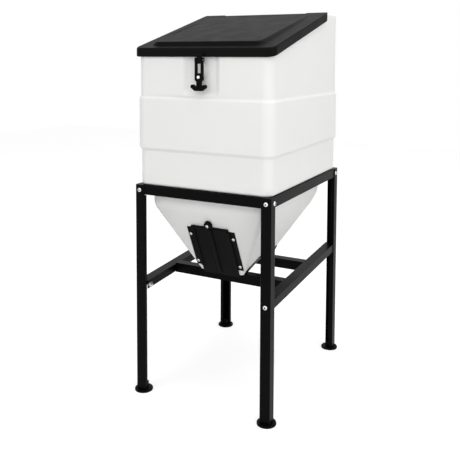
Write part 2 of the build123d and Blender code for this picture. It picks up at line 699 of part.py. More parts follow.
# Gate: local X across, local Y up the slope, local Z out of the hopper
GATE_BACK = GATE_BACK_GAP
GATE_FACE = GATE_BACK + GATE_PLATE
GATE_TOP = GATE_BOTTOM + GATE_LENGTH
GUIDE_WEB_X = GATE_WIDTH / 2 + GATE_EDGE_GAP
GUIDE_SCREW_X = GUIDE_WEB_X + GUIDE_SHEET + GUIDE_FLANGE / 2
GUIDE_SCREWS = [
    Location(GATE_PLANE) * Location((side * GUIDE_SCREW_X, GUIDE_BOTTOM + GUIDE_SCREW_INSET + step, GUIDE_SHEET))
    for side in (-1, 1)
    for step in (0, GUIDE_SCREW_SPREAD)
]
KNOB_UP = GATE_TOP + KNOB_RISE


def gate_plate():
    """The sliding plate: a folded lip along its top, a raised bead down its middle, a round tab."""
    half = GATE_WIDTH / 2
    plate = block(-half, half, GATE_BOTTOM, GATE_TOP, GATE_BACK, GATE_FACE)
    plate += block(-half, half, GATE_TOP - GATE_PLATE, GATE_TOP, GATE_BACK, GATE_FACE + GATE_LIP)
    room = KNOB_RADIUS + GATE_PLATE
    plate -= block(-room, room, GATE_TOP - 2 * GATE_PLATE, GATE_TOP + CUT_PAST, GATE_FACE, TOP)
    bead_0 = GATE_BOTTOM + BEAD_END_MARGIN
    bead_1 = KNOB_UP - KNOB_RADIUS - BEAD_END_MARGIN / 2
    bead = block(-BEAD_WIDTH / 2, BEAD_WIDTH / 2, bead_0, bead_1, GATE_BACK, GATE_FACE + BEAD_HEIGHT)
    ridge = bead.edges().group_by(Axis.Z)[-1]
    plate += fillet(ridge, BEAD_ROUND)
    tab_half = KNOB_RADIUS - GATE_PLATE
    plate += block(-tab_half, tab_half, GATE_TOP - GATE_PLATE, KNOB_UP, GATE_BACK, GATE_FACE)
    plate += Pos(0, KNOB_UP, (GATE_BACK + GATE_FACE) / 2) * Cylinder(tab_half, GATE_PLATE)
    plate -= Pos(0, KNOB_UP, 0) * Cylinder(SMALL_BOLT_RADIUS + HOLE_CLEARANCE, 4 * KNOB_THICKNESS)
    return GATE_PLANE * plate


def gate_guide(side):
    """A folded strip that traps one edge of the plate against the hopper."""
    web_1 = GUIDE_WEB_X + GUIDE_SHEET
    lip_0 = GATE_FACE + GATE_EDGE_GAP
    y0 = GUIDE_BOTTOM
    y1 = GUIDE_BOTTOM + GUIDE_LENGTH
    solid = block(GUIDE_WEB_X, web_1 + GUIDE_FLANGE, y0, y1, 0, GUIDE_SHEET)
    solid += block(GUIDE_WEB_X, web_1, y0, y1, 0, lip_0 + GUIDE_SHEET)
    solid += block(GATE_WIDTH / 2 - GUIDE_OVERLAP, web_1, y0, y1, lip_0, lip_0 + GUIDE_SHEET)
    solid = GATE_PLANE * to_corner(solid, side, 1)
    return drill(solid, GUIDE_SCREWS, SMALL_BOLT_RADIUS, 2 * GUIDE_SHEET)


KNOB_FACE = GATE_FACE + KNOB_THICKNESS
KNOB_SCREW = Location(GATE_PLANE) * Location((0, KNOB_UP, KNOB_FACE))
KNOB_GRIP = KNOB_THICKNESS + GATE_PLATE


def gate_knob():
    """The round grip on the plate's tab."""
    solid = Pos(0, KNOB_UP, GATE_FACE + KNOB_THICKNESS / 2) * Cylinder(KNOB_RADIUS, KNOB_THICKNESS)
    solid = fillet(solid.edges().filter_by(GeomType.CIRCLE).group_by(Axis.Z)[-1], KNOB_ROUND)
    return drill(GATE_PLANE * solid, [KNOB_SCREW], SMALL_BOLT_RADIUS, 2 * KNOB_GRIP)


# Lid
def lid_slab(y0, y1, upper, lower):
    """A slab under the lid's sloped top, between two depths below it."""
    points = [
        (y0, lid_top(y0) - lower),
        (y1, lid_top(y1) - lower),
        (y1, lid_top(y1) - upper),
        (y0, lid_top(y0) - upper),
    ]
    return along_x(points, -2 * LID_X, 2 * LID_X)


def plateau_section(inset, front_rise, rear_rise, side_draft, end_draft):
    """A sloped rounded rectangle at these heights above the lid's border."""
    half = LID_X - PLATEAU_SIDE_BORDER - inset - side_draft
    y0 = LID_FRONT_Y + PLATEAU_FRONT_BORDER + inset + end_draft
    y1 = LID_REAR_Y - PLATEAU_REAR_BORDER - inset - end_draft
    z0 = lid_top(y0) + front_rise
    z1 = lid_top(y1) + rear_rise
    middle = (0, (y0 + y1) / 2, (z0 + z1) / 2)
    plane = Plane(origin=middle, x_dir=(1, 0, 0), z_dir=(0, z0 - z1, y1 - y0))
    length = sqrt((y1 - y0) ** 2 + (z1 - z0) ** 2)
    return plane * RectangleRounded(2 * half, length, PLATEAU_CORNER - inset)


def plateau(wall):
    """The lid's raised middle, or its hollow where wall is the lid's thickness."""
    root = -LID_WALL / 2 - wall
    front = PLATEAU_FRONT_RISE - wall
    rear = PLATEAU_REAR_RISE - wall
    sections = [
        plateau_section(wall, root, root, 0, 0),
        plateau_section(wall, -wall, -wall, 0, 0),
        plateau_section(wall, front, rear, PLATEAU_SIDE_DRAFT, PLATEAU_END_DRAFT),
    ]
    return loft(sections, ruled=True)


def lid():
    """The lid: a sloped top with a raised middle, skirts at the front and sides, two hinge ears."""
    plan = column(LID_X, LID_FRONT_Y, LID_BACK_Y, LID_CORNER, 0, TOP)
    plan -= block(-EAR_INNER_X, EAR_INNER_X, LID_REAR_Y, STAND_Y, 0, TOP)
    solid = plan & lid_slab(LID_FRONT_Y - CUT_PAST, HINGE_Y, 0, LID_SKIRT)
    inside = LID_X - LID_WALL
    room = column(inside, LID_FRONT_Y + LID_WALL, STAND_Y, LID_CORNER - LID_WALL, 0, TOP)
    room += block(-STAND_X - LID_X, STAND_X + LID_X, LID_REAR_Y, STAND_Y, 0, TOP)
    solid -= room & lid_slab(-STAND_Y, STAND_Y, LID_WALL, 2 * LID_SKIRT)
    solid += plateau(0)
    solid -= plateau(LID_WALL)
    bore = PIN_RADIUS + RUNNING_CLEARANCE
    for side in (-1, 1):
        solid += plan & rod_x(EAR_RADIUS, side * EAR_INNER_X, side * LID_X, HINGE_Y, HINGE_Z)
        solid -= rod_x(bore, side * LUG_INNER_X, side * 2 * LID_X, HINGE_Y, HINGE_Z)
    solid += latch_boss()
    return solid - rod_x(LATCH_PIN_RADIUS + RUNNING_CLEARANCE, -LATCH_WIDTH, LATCH_WIDTH, PIVOT_Y, PIVOT_Z)


def latch_boss():
    """The boss on the lid's front skirt and the tongue below it that carries the latch."""
    skirt_bottom = LID_FRONT_HEIGHT - LID_SKIRT
    y0 = LID_FRONT_Y - BOSS_DEPTH
    half = BOSS_WIDTH / 2
    boss = block(-half, half, y0, LID_FRONT_Y + LID_WALL / 2, skirt_bottom + CUT_PAST, skirt_bottom + BOSS_HEIGHT)
    boss = fillet(boss.edges().group_by(Axis.Y)[0], BOSS_ROUND)
    half = LATCH_LOOP_WIDTH / 2 - LATCH_CHEEK_GAP
    y1 = PIVOT_Y - TONGUE_DEPTH / 2
    y2 = PIVOT_Y + TONGUE_DEPTH / 2
    tongue = block(-half, half, y1, y2, PIVOT_Z - TONGUE_END, skirt_bottom + 2 * CUT_PAST)
    tongue = fillet(tongue.edges().filter_by(Axis.X).group_by(Axis.Z)[0], TONGUE_ROUND)
    return boss + tongue


def hinge_pin(side):
    x0 = side * (LUG_INNER_X + LUG_BLIND)
    x1 = side * PIN_END_X
    return rod_x(PIN_RADIUS, x0, x1, HINGE_Y, HINGE_Z)


# Latch
def latch_pin():
    half = LATCH_WIDTH / 2
    return rod_x(LATCH_PIN_RADIUS, -half, half, PIVOT_Y, PIVOT_Z)


def latch_strap():
    """A rubber loop that hangs from the lid, with a pad that snaps on the stud and a T-shaped handle."""
    half = LATCH_WIDTH / 2
    solid = block(-half, half, STRAP_FRONT_Y, STRAP_BACK_Y, PIVOT_Z - PAD_BOTTOM, PIVOT_Z)
    solid = chamfer(solid.edges().filter_by(Axis.Y).group_by(Axis.Z)[0], PAD_CORNER)
    solid += rod_x(LATCH_KNUCKLE, -half, half, PIVOT_Y, PIVOT_Z)
    loop = LATCH_LOOP_WIDTH / 2
    solid -= block(-loop, loop, -2 * STAND_Y, 0, PIVOT_Z - LOOP_BOTTOM, TOP)
    neck = NECK_WIDTH / 2
    arm_z = PIVOT_Z - HANDLE_BOTTOM + HANDLE_ARM / 2
    solid += block(-neck, neck, STRAP_FRONT_Y, STRAP_BACK_Y, arm_z, PIVOT_Z - PAD_BOTTOM + CUT_PAST)
    solid += latch_handle(arm_z)
    solid -= rod_x(LATCH_PIN_RADIUS + RUNNING_CLEARANCE, -LATCH_WIDTH, LATCH_WIDTH, PIVOT_Y, PIVOT_Z)
    socket = STUD_RADIUS + SOCKET_CLEARANCE
    solid -= rod_y(socket, STRAP_BACK_Y - SOCKET_DEPTH, STRAP_BACK_Y + CUT_PAST, 0, STUD_Z)
    shank = CAP_SHANK_RADIUS + RUNNING_CLEARANCE
    return solid - rod_y(shank, STRAP_FRONT_Y - CUT_PAST, STRAP_FRONT_Y + CAP_SHANK_LENGTH, 0, STUD_Z)


def latch_handle(z):
    """The anchor-shaped end of the strap: one round-ended arm, level in its middle, its two ends swept up."""
    reach = (HANDLE_WIDTH - HANDLE_ARM) / 2
    flat = HANDLE_FLAT / 2
    sweep = Polyline((-reach, z + HANDLE_SWEEP), (-flat, z), (flat, z), (reach, z + HANDLE_SWEEP))
    back = STRAP_BACK_Y - HANDLE_BACK_SET
    return extrude(Plane.XZ.offset(-back) * SlotArc(sweep, HANDLE_ARM), amount=HANDLE_DEPTH)


def stud_cap():
    """The metal cap on the front of the strap's pad."""
    dome = Cylinder(CAP_RADIUS, CAP_HEIGHT, align=(Align.CENTER, Align.CENTER, Align.MIN))
    dome = fillet(dome.edges().group_by(Axis.Z)[-1], CAP_ROUND)
    shank = Cylinder(CAP_SHANK_RADIUS, CAP_SHANK_LENGTH, align=(Align.CENTER, Align.CENTER, Align.MAX))
    return facing_y(-1, 0, STRAP_FRONT_Y, STUD_Z) * (dome + shank)


KEEPER_PLACE = facing_y(-1, 0, RECESS_Y, STUD_Z)


def keeper_stud():
    """The stud in the latch recess: a round head on a post, a flange on the wall, a thread through it."""
    reach = RECESS_Y - STRAP_BACK_Y + STUD_GRIP
    head = Pos(0, 0, reach - STUD_RADIUS) * Sphere(STUD_RADIUS)
    bottom = (Align.CENTER, Align.CENTER, Align.MIN)
    post = Cylinder(STUD_POST_RADIUS, reach - STUD_RADIUS, align=bottom)
    flange = Cylinder(STUD_FLANGE_RADIUS, STUD_FLANGE, align=bottom)
    length = WALL + SMALL_NUT_HEIGHT + THREAD_TIP
    thread = Cylinder(STUD_THREAD_RADIUS, length, align=(Align.CENTER, Align.CENTER, Align.MAX))
    return KEEPER_PLACE * (head + post + flange + thread)


def keeper_nut():
    return KEEPER_PLACE * hex_nut(STUD_THREAD_RADIUS, SMALL_NUT_FLATS, SMALL_NUT_HEIGHT, WALL)


def group(make, places, grip):
    """Identical fasteners, kept as separate solids in one piece."""
    return Compound([place * make(grip) for place in places])


def save(name, shape):
    export_step(shape, f"parts/{name}.step")


SIDE_NAMES = {-1: "left", 1: "right"}
END_NAMES = {-1: "front", 1: "rear"}
for side, end in CORNERS:
    corner_name = f"{END_NAMES[end]}_{SIDE_NAMES[side]}"
    save(f"leg_{corner_name}", leg(side, end))
    save(f"foot_{corner_name}", foot(side, end))
for end in (-1, 1):
    save(f"top_rail_{END_NAMES[end]}", end_rail(end))
for side in (-1, 1):
    save(f"top_rail_{SIDE_NAMES[side]}", side_rail(side))
    save(f"lower_rail_{SIDE_NAMES[side]}", lower_rail(side))
    save(f"gate_guide_{SIDE_NAMES[side]}", gate_guide(side))
    save(f"hinge_pin_{SIDE_NAMES[side]}", hinge_pin(side))
save("cross_rail_front", cross_rail(CROSS_RAIL_FRONT_Y))
save("cross_rail_rear", cross_rail(CROSS_RAIL_REAR_Y))
save("hopper_saddle", hopper_saddle())
save("top_rail_bolts", group(frame_bolt, RAIL_BOLTS, FRAME_GRIP))
save("top_rail_nuts", group(frame_nut, RAIL_BOLTS, FRAME_GRIP))
save("lower_rail_left_bolts", group(frame_bolt, LEFT_RAIL_BOLTS, LEFT_RAIL_GRIP))
save("lower_rail_left_nuts", group(frame_nut, LEFT_RAIL_BOLTS, LEFT_RAIL_GRIP))
save("lower_rail_right_bolts", group(frame_bolt, RIGHT_RAIL_BOLTS, FRAME_GRIP))
save("lower_rail_right_nuts", group(frame_nut, RIGHT_RAIL_BOLTS, FRAME_GRIP))
save("cross_rail_bolts", group(frame_bolt, CROSS_BOLTS, FRAME_GRIP))
save("cross_rail_nuts", group(frame_nut, CROSS_BOLTS, FRAME_GRIP))
save("saddle_bolts", group(small_bolt, SADDLE_BOLTS, SADDLE_PLATE + STEEL))
save("saddle_nuts", group(small_nut, SADDLE_BOLTS, SADDLE_PLATE + STEEL))
form = bin_and_hopper()
save("bin_body", bin_body(form))
save("hopper", hopper(form))
save("gate_guide_screws", group(small_bolt, GUIDE_SCREWS, GUIDE_SHEET + WALL))
save("gate_guide_nuts", group(small_nut, GUIDE_SCREWS, GUIDE_SHEET + WALL))
save("gate_plate", gate_plate())
save("gate_knob", gate_knob())
save("gate_knob_screw", KNOB_SCREW * small_screw(KNOB_GRIP))
save("lid", lid())
save("latch_pin", latch_pin())
save("latch_strap", latch_strap())
save("latch_stud_cap", stud_cap())
save("latch_keeper_stud", keeper_stud())
save("latch_keeper_nut", keeper_nut())
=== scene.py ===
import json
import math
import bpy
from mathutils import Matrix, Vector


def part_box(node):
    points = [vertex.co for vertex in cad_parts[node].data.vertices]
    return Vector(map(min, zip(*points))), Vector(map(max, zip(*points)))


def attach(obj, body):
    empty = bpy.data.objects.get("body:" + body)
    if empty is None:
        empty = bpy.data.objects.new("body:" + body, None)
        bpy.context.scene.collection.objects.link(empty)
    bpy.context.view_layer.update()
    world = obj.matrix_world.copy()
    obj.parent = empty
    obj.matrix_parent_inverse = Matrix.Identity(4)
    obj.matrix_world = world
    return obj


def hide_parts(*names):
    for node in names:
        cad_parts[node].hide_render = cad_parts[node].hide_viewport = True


bl_info = {
    "name": "Feed bin on stand",
    "version": (1, 0, 0),
    "blender": (4, 5, 0),
    "location": "View3D > Sidebar > Feed bin",
    "description": "Finishes the pieces of a hopper-bottomed feed bin on a steel stand",
    "category": "Add Mesh",
}

import bmesh
import bpy
from mathutils import Matrix, Vector

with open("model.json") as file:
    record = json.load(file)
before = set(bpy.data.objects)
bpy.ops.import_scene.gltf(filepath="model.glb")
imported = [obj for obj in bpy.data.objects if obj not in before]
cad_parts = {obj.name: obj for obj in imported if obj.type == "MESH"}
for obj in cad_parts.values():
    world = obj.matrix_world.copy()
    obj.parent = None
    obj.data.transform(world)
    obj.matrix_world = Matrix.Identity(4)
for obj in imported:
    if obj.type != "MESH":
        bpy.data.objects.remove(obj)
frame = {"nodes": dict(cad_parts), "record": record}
NODES = frame["nodes"]
BODIES = {node: body for body, nodes in frame["record"]["behaviour"]["bodies"].items() for node in nodes}
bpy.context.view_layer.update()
SIDES = ("left", "right")
ENDS = ("front", "rear")
MM = 0.001
NUMBER = "NodeSocketFloat"


# Shader helpers
NOISE_LOW = 0.3
NOISE_HIGH = 0.7
TONE_SCALE = 5.0
GLOSS_PATCH_SCALE = 22.0


def grey(value):
    return (value, value, value)


# Painted shade: the darker colour of the bolts' socket wells, standing in for the shade inside the
# hollow.
SOCKET_PAINTED_SHADE = grey(0.06)


def socket(node, name):
    """The input of that name that is in use: some shader nodes keep hidden ones of the same name."""
    for item in node.inputs:
        if item.name == name and item.enabled:
            return item
    return node.inputs[name]


def add(tree, kind, inputs=None, **settings):
    """Adds a shader node, sets its settings, then fills or links its inputs."""
    node = tree.nodes.new(kind)
    for key, value in settings.items():
        setattr(node, key, value)
    for name, value in (inputs or {}).items():
        target = node.inputs[name] if isinstance(name, int) else socket(node, name)
        if isinstance(value, bpy.types.NodeSocket):
            tree.links.new(value, target)
        else:
            target.default_value = value
    return node


def noise(tree, place, scale, detail):
    """The value of a noise texture at a place."""
    values = {"Vector": place, "Scale": scale, "Detail": detail}
    return add(tree, "ShaderNodeTexNoise", values).outputs["Fac"]


def mixed(tree, factor, low, high):
    """A number between two others."""
    return add(tree, "ShaderNodeMix", {"Factor": factor, "A": low, "B": high}).outputs[0]


def mixed_colour(tree, factor, low, high):
    """A colour between two others."""
    sources = {"Factor": factor, "A": low, "B": high}
    return add(tree, "ShaderNodeMix", sources, data_type="RGBA").outputs[2]


def new_group(name, inputs, outputs):
    """An empty shader group with named inputs and outputs."""
    group = bpy.data.node_groups.new(name, "ShaderNodeTree")
    for label, kind, default in inputs:
        item = group.interface.new_socket(label, in_out="INPUT", socket_type=kind)
        if default is not None:
            item.default_value = default
    for label, kind in outputs:
        group.interface.new_socket(label, in_out="OUTPUT", socket_type=kind)
    return group, group.nodes.new("NodeGroupInput"), group.nodes.new("NodeGroupOutput")


def grain_group():
    """Fine moulded or sprayed grain: a height for bump and a value that varies the gloss."""
    group, given, result = new_group(
        "Surface grain",
        [("Scale", NUMBER, 600.0), ("Waviness", NUMBER, 8.0), ("Wave share", NUMBER, 0.3)],
        [("Height", NUMBER), ("Gloss", NUMBER)],
    )
    place = add(group, "ShaderNodeTexCoord").outputs["Object"]
    fine = noise(group, place, given.outputs["Scale"], 2.0)
    broad = noise(group, place, given.outputs["Waviness"], 1.0)
    height = mixed(group, given.outputs["Wave share"], fine, broad)
    group.links.new(height, result.inputs["Height"])
    patches = noise(group, place, GLOSS_PATCH_SCALE, 3.0)
    gloss = mixed(group, 0.5, fine, patches)
    group.links.new(gloss, result.inputs["Gloss"])
    return group


def tint_group():
    """Slow colour drift between two close tones, as moulded and sprayed surfaces have."""
    group, given, result = new_group(
        "Tone drift",
        [
            ("Light tone", "NodeSocketColor", (0.8, 0.8, 0.8, 1.0)),
            ("Dark tone", "NodeSocketColor", (0.7, 0.7, 0.7, 1.0)),
            ("Scale", NUMBER, TONE_SCALE),
        ],
        [("Color", "NodeSocketColor")],
    )
    place = add(group, "ShaderNodeTexCoord").outputs["Object"]
    drift = noise(group, place, given.outputs["Scale"], 4.0)
    spread = add(
        group, "ShaderNodeMapRange", {"Value": drift, "From Min": NOISE_LOW, "From Max": NOISE_HIGH}
    ).outputs[0]
    tone = mixed_colour(group, spread, given.outputs["Dark tone"], given.outputs["Light tone"])
    group.links.new(tone, result.inputs["Color"])
    return group


def finish_material(name, light, dark, rough, grain, bump, wave=(8.0, 0.3), metal=0.0, sockets=None):
    """A material from the two shared groups. bump is a strength and a distance in millimetres.

    sockets sets further sockets of its shader.
    """
    material = bpy.data.materials.new(name)
    material.use_nodes = True
    tree = material.node_tree
    tree.nodes.clear()
    tones = add(tree, "ShaderNodeGroup", node_tree=bpy.data.node_groups["Tone drift"])
    tones.inputs["Light tone"].default_value = (*light, 1.0)
    tones.inputs["Dark tone"].default_value = (*dark, 1.0)
    tones.inputs["Scale"].default_value = TONE_SCALE
    surface = add(tree, "ShaderNodeGroup", node_tree=bpy.data.node_groups["Surface grain"])
    surface.inputs["Scale"].default_value = grain
    surface.inputs["Waviness"].default_value = wave[0]
    surface.inputs["Wave share"].default_value = wave[1]
    gloss = add(
        tree,
        "ShaderNodeMapRange",
        {
            "Value": surface.outputs["Gloss"],
            "From Min": NOISE_LOW,
            "From Max": NOISE_HIGH,
            "To Min": rough[0],
            "To Max": rough[1],
        },
    )
    relief = add(
        tree,
        "ShaderNodeBump",
        {"Height": surface.outputs["Height"], "Strength": bump[0], "Distance": bump[1] * MM},
    )
    shader = add(
        tree,
        "ShaderNodeBsdfPrincipled",
        {
            "Base Color": tones.outputs["Color"],
            "Roughness": gloss.outputs[0],
            "Normal": relief.outputs["Normal"],
            "Metallic": metal,
        },
    )
    for key, value in (sockets or {}).items():
        shader.inputs[key].default_value = value
    if metal:
        # The bolt tree writes 1 as the map's Y in the wells of the hexagonal sockets, which get painted
        # shade: a darker zinc colour that stands in for the shade inside the hollow.
        place = add(tree, "ShaderNodeUVMap", uv_map="UVMap").outputs[0]
        well_shade_mask = add(tree, "ShaderNodeSeparateXYZ", {0: place}).outputs["Y"]
        colour = mixed_colour(tree, well_shade_mask, tones.outputs["Color"], (*SOCKET_PAINTED_SHADE, 1.0))
        tree.links.new(colour, shader.inputs["Base Color"])
    out = add(tree, "ShaderNodeOutputMaterial", {"Surface": shader.outputs[0]})
    out.is_active_output = True
    return material


def make_materials():
    """Every finish of the object, by the name of its slot in the record."""
    sizes = bpy.context.scene.feed_bin_finish
    grain_group()
    tint_group()
    white = Vector(sizes.bin_colour)
    black = Vector(sizes.steel_colour)
    lid = Vector(sizes.lid_colour)
    return {
        "bin_plastic": finish_material(
            "milky polyethylene", white, white * 0.975,
            rough=(0.4, 0.52), grain=260.0, bump=(0.1, 0.4), wave=(7.0, 0.55),
            sockets={
                "Subsurface Weight": 0.25,
                "Subsurface Scale": 0.02,
                "Subsurface Radius": (1.0, 1.0, 1.0),
                "Specular IOR Level": 0.35,
            },
        ),
        "lid_plastic": finish_material(
            "grained black polyethylene", lid, lid * 0.8,
            rough=(0.42, 0.54), grain=900.0, bump=(0.3, 0.3), wave=(5.0, 0.2),
            sockets={"Specular IOR Level": 0.05},
        ),
        "powder_coat": finish_material(
            "black powder coat", black, black * 0.75,
            rough=(0.3, 0.4), grain=700.0, bump=(0.15, 0.2),
            sockets={"Specular IOR Level": 0.045},
        ),
        "gate_coat": finish_material(
            "black gate coat", black * 1.2, black * 0.9,
            rough=(0.34, 0.44), grain=650.0, bump=(0.15, 0.2),
            sockets={"Specular IOR Level": 0.05},
        ),
        "foot_plastic": finish_material(
            "black foot plastic", black, black * 0.8,
            rough=(0.42, 0.55), grain=500.0, bump=(0.2, 0.3),
            sockets={"Specular IOR Level": 0.05},
        ),
        "latch_rubber": finish_material(
            "black latch rubber", black, black * 0.8,
            rough=(0.5, 0.62), grain=800.0, bump=(0.2, 0.3),
            sockets={"Specular IOR Level": 0.05},
        ),
        "zinc_steel": finish_material(
            "bright zinc plate", grey(0.72), grey(0.6),
            rough=(0.22, 0.34), grain=400.0, bump=(0.1, 0.15), metal=1.0,
        ),
    }


def material(slot):
    """The finish of a slot: all are made on the first call."""
    if "materials" not in CACHE:
        CACHE["materials"] = make_materials()
    return CACHE["materials"][slot]


CACHE = {}
SLOT_OF = {row["node"]: row["material_slot"] for row in frame["record"]["subparts"]}


# Mesh helpers
WELD = 0.002 * MM
FLAT_ANGLE = math.radians(0.6)
SOFT_EDGE_ANGLE = math.radians(14.0)
CREASE = 30.0
BIN_CREASE = 25.0
FASTENER_CREASE = 35.0
SOFT_SEGMENTS = 4
FINE_SEGMENTS = 3
FACE_AREA_WEIGHT = 100


def new_object(name, data):
    """A new object in the scene."""
    item = bpy.data.objects.new(name, data)
    bpy.context.scene.collection.objects.link(item)
    return item


def shade(mesh, angle):
    """Smooth faces, with edges sharper than the angle kept crisp."""
    for face in mesh.polygons:
        face.use_smooth = True
    mesh.set_sharp_from_angle(angle=math.radians(angle))


def merged_copy(node, name):
    """A new mesh object with the node's shape, its loose triangles joined up and flat areas cleaned."""
    mesh = bpy.data.meshes.new(name)
    work = bmesh.new()
    work.from_mesh(NODES[node].data)
    bmesh.ops.remove_doubles(work, verts=work.verts, dist=WELD)
    bmesh.ops.dissolve_limit(
        work, angle_limit=FLAT_ANGLE, verts=work.verts, edges=work.edges, delimit={"NORMAL"}
    )
    work.to_mesh(mesh)
    work.free()
    return new_object(name, mesh)


def bake_modifiers(piece):
    """Turns the piece with its modifiers into a plain mesh."""
    bpy.context.view_layer.update()
    seen = piece.evaluated_get(bpy.context.evaluated_depsgraph_get())
    mesh = bpy.data.meshes.new_from_object(seen)
    piece.modifiers.clear()
    old = piece.data
    piece.data = mesh
    bpy.data.meshes.remove(old)
    return piece


def settle(piece, node_names, slot_name=None):
    """Gives a finished piece its finish and its body, and hides the nodes that it stands for."""
    slot_name = slot_name or SLOT_OF[node_names[0]]
    piece.data.materials.clear()
    piece.data.materials.append(material(slot_name))
    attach(piece, BODIES[node_names[0]])
    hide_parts(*node_names)
    return piece


def round_chosen(piece, radius_at, segments):
    """Rounds the edges for which radius_at, given the edge's two ends, returns a radius in metres."""
    work = bmesh.new()
    work.from_mesh(piece.data)
    layers = work.edges.layers.float
    layer = layers.get("bevel_weight_edge") or layers.new("bevel_weight_edge")
    radii = {}
    for edge in work.edges:
        if len(edge.link_faces) == 2 and edge.calc_face_angle() > SOFT_EDGE_ANGLE:
            radii[edge.index] = radius_at(edge.verts[0].co, edge.verts[1].co)
    widest = max(radii.values())
    work.edges.ensure_lookup_table()
    for index, radius in radii.items():
        work.edges[index][layer] = radius / widest
    work.to_mesh(piece.data)
    work.free()
    bevel = piece.modifiers.new("soft forms", "BEVEL")
    bevel.width = widest
    bevel.segments = segments
    bevel.limit_method = "WEIGHT"
    bevel.use_clamp_overlap = False
    bevel.miter_outer = "MITER_ARC"
    bake_modifiers(piece)
    weights = piece.data.attributes.get("bevel_weight_edge")
    if weights:
        piece.data.attributes.remove(weights)


def round_all(piece, width, segments, angle=CREASE):
    """Rounds every crisp edge by a width in millimetres and keeps flat faces flat to the eye."""
    shade(piece.data, angle)
    bevel = piece.modifiers.new("rounded edges", "BEVEL")
    bevel.width = width * MM
    bevel.segments = segments
    bevel.limit_method = "ANGLE"
    bevel.angle_limit = math.radians(angle)
    bevel.use_clamp_overlap = True
    bevel.harden_normals = True
    weighted = piece.modifiers.new("even shading", "WEIGHTED_NORMAL")
    weighted.keep_sharp = True
    weighted.weight = FACE_AREA_WEIGHT
    bake_modifiers(piece)


def soft_piece(node, name, width, segments=2, angle=CREASE, radius_at=None):
    """The node's shape with its edges rounded over. radius_at names the edges with a larger round."""
    piece = merged_copy(node, name)
    if radius_at:
        round_chosen(piece, radius_at, SOFT_SEGMENTS)
    round_all(piece, width, segments, angle)
    return settle(piece, [node])


def coat_node(node):
    """A CAD node that stays, with its finish."""
    mesh = NODES[node].data
    mesh.materials.clear()
    mesh.materials.append(material(SLOT_OF[node]))


# Geometry Nodes for what repeats
ACROSS = Vector((1.0, 0.0, 0.0))
ALONG = Vector((0.0, 1.0, 0.0))
UPRIGHT = Vector((0.0, 0.0, 1.0))
JOINTS = {joint["name"]: joint for joint in frame["record"]["behaviour"]["joints"]}
GATE_UP = Vector(JOINTS["gate_slide"]["axis"])
GATE_OUT = GATE_UP.cross(ACROSS).normalized()
AXES = (ACROSS, ALONG, UPRIGHT, GATE_OUT)
ROUND_SIDES = 24
HEX_SIDES = 6


def new_tree(name, inputs):
    """An empty geometry tree with a Geometry input, then the named ones, and one Geometry output."""
    tree = bpy.data.node_groups.new(name, "GeometryNodeTree")
    tree.interface.new_socket("Geometry", in_out="INPUT", socket_type="NodeSocketGeometry")
    for label, kind, default in inputs:
        item = tree.interface.new_socket(label, in_out="INPUT", socket_type=kind)
        if default is not None:
            item.default_value = default
    tree.interface.new_socket("Geometry", in_out="OUTPUT", socket_type="NodeSocketGeometry")
    return tree, tree.nodes.new("NodeGroupInput").outputs, tree.nodes.new("NodeGroupOutput")


def math_node(tree, operation, *values):
    return add(tree, "ShaderNodeMath", dict(enumerate(values)), operation=operation).outputs[0]


def vector_node(tree, **parts):
    return add(tree, "ShaderNodeCombineXYZ", parts).outputs[0]


def moved(tree, geometry, up):
    shift = vector_node(tree, Z=up)
    return add(tree, "GeometryNodeTransform", {"Geometry": geometry, "Translation": shift}).outputs[0]


def joined(tree, *parts):
    """Joins geometries and merges the points that they share."""
    join = tree.nodes.new("GeometryNodeJoinGeometry")
    for part in reversed(parts):
        tree.links.new(part, join.inputs[0])
    shared = {"Geometry": join.outputs[0], "Distance": WELD}
    return add(tree, "GeometryNodeMergeByDistance", shared).outputs[0]


def turned(tree, low_radius, low, high_radius, high, bulge, sides=ROUND_SIDES, steps=5):
    """A turned band from one radius and height to another, straight or bulged to a quarter round."""
    counts = {"Size X": 1.0, "Size Y": 1.0, "Vertices X": sides + 1, "Vertices Y": steps + 1}
    grid = add(tree, "GeometryNodeMeshGrid", counts)
    place = add(tree, "ShaderNodeSeparateXYZ", {0: add(tree, "GeometryNodeInputPosition").outputs[0]})
    angle = math_node(tree, "MULTIPLY", place.outputs["X"], math.tau)
    along = math_node(tree, "ADD", place.outputs["Y"], 0.5)
    quarter = math_node(tree, "MULTIPLY", along, math.pi / 2)
    fall = math_node(tree, "SUBTRACT", 1.0, math_node(tree, "COSINE", quarter))
    rise = math_node(tree, "SINE", quarter)
    inward = mixed(tree, bulge, along, fall)
    upward = mixed(tree, bulge, along, rise)
    radius = mixed(tree, inward, low_radius, high_radius)
    height = mixed(tree, upward, low, high)
    x = math_node(tree, "MULTIPLY", radius, math_node(tree, "COSINE", angle))
    y = math_node(tree, "MULTIPLY", radius, math_node(tree, "SINE", angle))
    shape = {"Geometry": grid.outputs[0], "Position": vector_node(tree, X=x, Y=y, Z=height)}
    return add(tree, "GeometryNodeSetPosition", shape).outputs[0]


def disc(tree, radius, height, sides, down=False):
    """A flat disc at a height, facing up or down."""
    size = {"Vertices": sides, "Radius": radius}
    face = add(tree, "GeometryNodeMeshCircle", size, fill_type="NGON").outputs[0]
    if down:
        face = add(tree, "GeometryNodeFlipFaces", {"Mesh": face}).outputs[0]
    return moved(tree, face, height)


